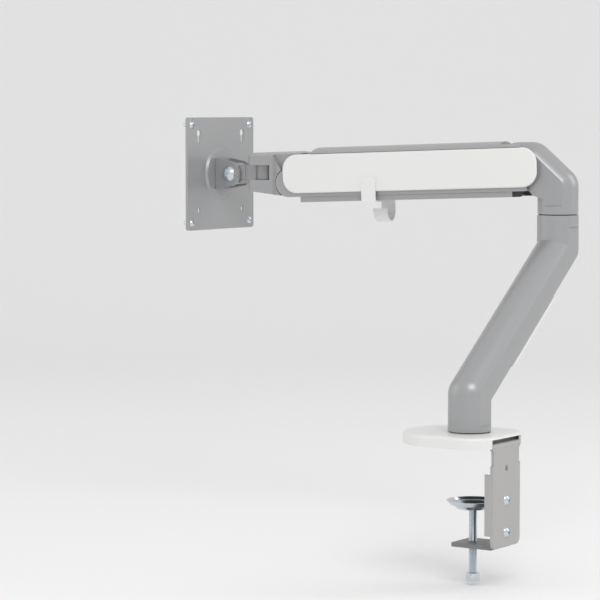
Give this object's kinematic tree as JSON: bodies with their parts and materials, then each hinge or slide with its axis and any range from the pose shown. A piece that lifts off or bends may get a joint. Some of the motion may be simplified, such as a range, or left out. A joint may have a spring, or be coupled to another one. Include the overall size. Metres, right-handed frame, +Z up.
{
  "type": "monitor arm",
  "caption": "Desk-clamp monitor arm with a dogleg lower arm, spring-balanced parallelogram upper arm and tilting screen plate.",
  "frame": {"origin": "on the desk surface, on the axis of the base post", "axes": "+Z up, +Y towards the rear edge of the desk, X along that edge"},
  "size_m": [0.2205, 0.4046, 0.433],
  "materials": {
    "white_plastic": "satin white moulded plastic",
    "cast_grey": "silver-grey satin paint on cast aluminium",
    "tray_grey": "grey moulded plastic",
    "bracket_grey": "light grey powder coat on bent steel",
    "bracket_dark": "dark grey powder coat on bent steel",
    "zinc_steel": "bright zinc plate, slightly blue",
    "pin_steel": "turned and ground steel",
    "black_plastic": "black moulded plastic",
    "rubber": "black foam rubber pad"
  },
  "bodies": {
    "base": {"base_cover": "white_plastic", "desk_pad": "rubber", "base_plate": "bracket_dark", "base_post": "pin_steel", "thrust_washer": "black_plastic", "clamp_bracket": "bracket_grey", "plate_rivets": "zinc_steel", "jaw_bracket": "bracket_dark", "jaw_screws": "zinc_steel", "jaw_nuts": "zinc_steel"},
    "clamp_foot": {"clamp_dish": "zinc_steel"},
    "clamp_spindle": {"clamp_screw": "zinc_steel"},
    "lower_arm": {"lower_arm": "cast_grey", "cable_cover": "white_plastic", "base_bushes": "black_plastic", "stop_screw": "zinc_steel", "elbow_bush": "black_plastic", "elbow_washer": "black_plastic"},
    "knuckle": {"knuckle": "cast_grey", "elbow_spigot": "pin_steel", "rear_link_pin": "pin_steel"},
    "upper_arm": {"arm_shell": "cast_grey", "left_side_cover": "white_plastic", "right_side_cover": "white_plastic", "rear_main_pin": "pin_steel", "front_main_pin": "pin_steel", "cable_tray": "tray_grey", "tray_end": "black_plastic", "cable_hook": "white_plastic", "spring_seat": "black_plastic", "spring": "pin_steel"},
    "link": {"link_bars": "bracket_dark"},
    "spring_pull": {"spring_eye": "zinc_steel", "spring_rod": "zinc_steel"},
    "spring_end": {"spring_cup": "zinc_steel"},
    "preload_nut": {"tension_nut": "zinc_steel"},
    "fork": {"yoke": "cast_grey", "front_link_pin": "pin_steel", "swivel_pin": "pin_steel"},
    "head_link": {"swivel_link": "cast_grey", "swivel_bush": "black_plastic"},
    "tilt_head": {"tilt_bracket": "cast_grey", "tilt_washers": "black_plastic", "tilt_bolt": "zinc_steel", "tilt_nut": "zinc_steel", "hub_washer": "black_plastic", "hub_bolt": "zinc_steel"},
    "screen_plate": {"vesa_plate": "cast_grey", "vesa_screws": "zinc_steel"}
  },
  "joints": [
    {"name": "clamp_travel", "type": "slide", "parent": "base", "child": "clamp_foot", "axis": [0, 0, 1], "range_m": [-0.028, 0.024]},
    {"name": "clamp_spin", "type": "hinge", "parent": "clamp_foot", "child": "clamp_spindle", "pos_m": [0, 0.0043, -0.1], "axis": [0, 0, 1], "range_deg": [-8065, 6913]},
    {"name": "base_swivel", "type": "hinge", "parent": "base", "child": "lower_arm", "pos_m": [0, 0, 0.02], "axis": [0, 0, 1], "range_deg": [-180, 180]},
    {"name": "elbow_swivel", "type": "hinge", "parent": "lower_arm", "child": "knuckle", "pos_m": [-0.14999, 0.0097, 0.2], "axis": [0, 0, 1], "range_deg": [-180, 180]},
    {"name": "arm_lift", "type": "hinge", "parent": "knuckle", "child": "upper_arm", "pos_m": [-0.14241, -0.02754, 0.247], "axis": [-0.9799, -0.1994, 0], "range_deg": [-30.9, 35.1]},
    {"name": "link_swing", "type": "hinge", "parent": "knuckle", "child": "link", "pos_m": [-0.14241, -0.02754, 0.264], "axis": [-0.9799, -0.1994, 0], "range_deg": [-30.9, 35.1]},
    {"name": "fork_level", "type": "hinge", "parent": "upper_arm", "child": "fork", "pos_m": [-0.09499, -0.2606, 0.23828], "axis": [-0.9799, -0.1994, 0], "range_deg": [-35.2, 31]},
    {"name": "spring_draw", "type": "slide", "parent": "upper_arm", "child": "spring_pull", "axis": [0.1992, -0.9793, -0.0366], "range_m": [-0.009, 0.0101], "deforming": ["spring"]},
    {"name": "preload_travel", "type": "slide", "parent": "spring_pull", "child": "spring_end", "axis": [0.1992, -0.9793, -0.0366], "range_m": [-0.015, 0.012], "deforming": ["spring"]},
    {"name": "preload_spin", "type": "hinge", "parent": "spring_end", "child": "preload_nut", "pos_m": [-0.11241, -0.17499, 0.25709], "axis": [0.1992, -0.9793, -0.0366], "range_deg": [-4321, 3457]},
    {"name": "head_swivel", "type": "hinge", "parent": "fork", "child": "head_link", "pos_m": [-0.08797, -0.2951, 0.24838], "axis": [0, 0, 1], "range_deg": [-78.5, 101.5]},
    {"name": "head_tilt", "type": "hinge", "parent": "head_link", "child": "tilt_head", "pos_m": [-0.08797, -0.3328, 0.24648], "axis": [-1, 0, 0], "range_deg": [-75, 75]},
    {"name": "head_rotate", "type": "hinge", "parent": "tilt_head", "child": "screen_plate", "pos_m": [-0.08797, -0.3499, 0.24648], "axis": [0, 1, 0], "range_deg": [-90, 90]}
  ],
  "couplings": [
    {"joint": "clamp_spin", "follows": "clamp_travel", "rad_per_m": 5026.5},
    {"joint": "link_swing", "follows": "arm_lift", "ratio": 1},
    {"joint": "fork_level", "follows": "arm_lift", "ratio": -1},
    {"joint": "spring_draw", "follows": "arm_lift", "m_per_rad": 0.0164},
    {"joint": "preload_spin", "follows": "preload_travel", "rad_per_m": 5026.5}
  ]
}
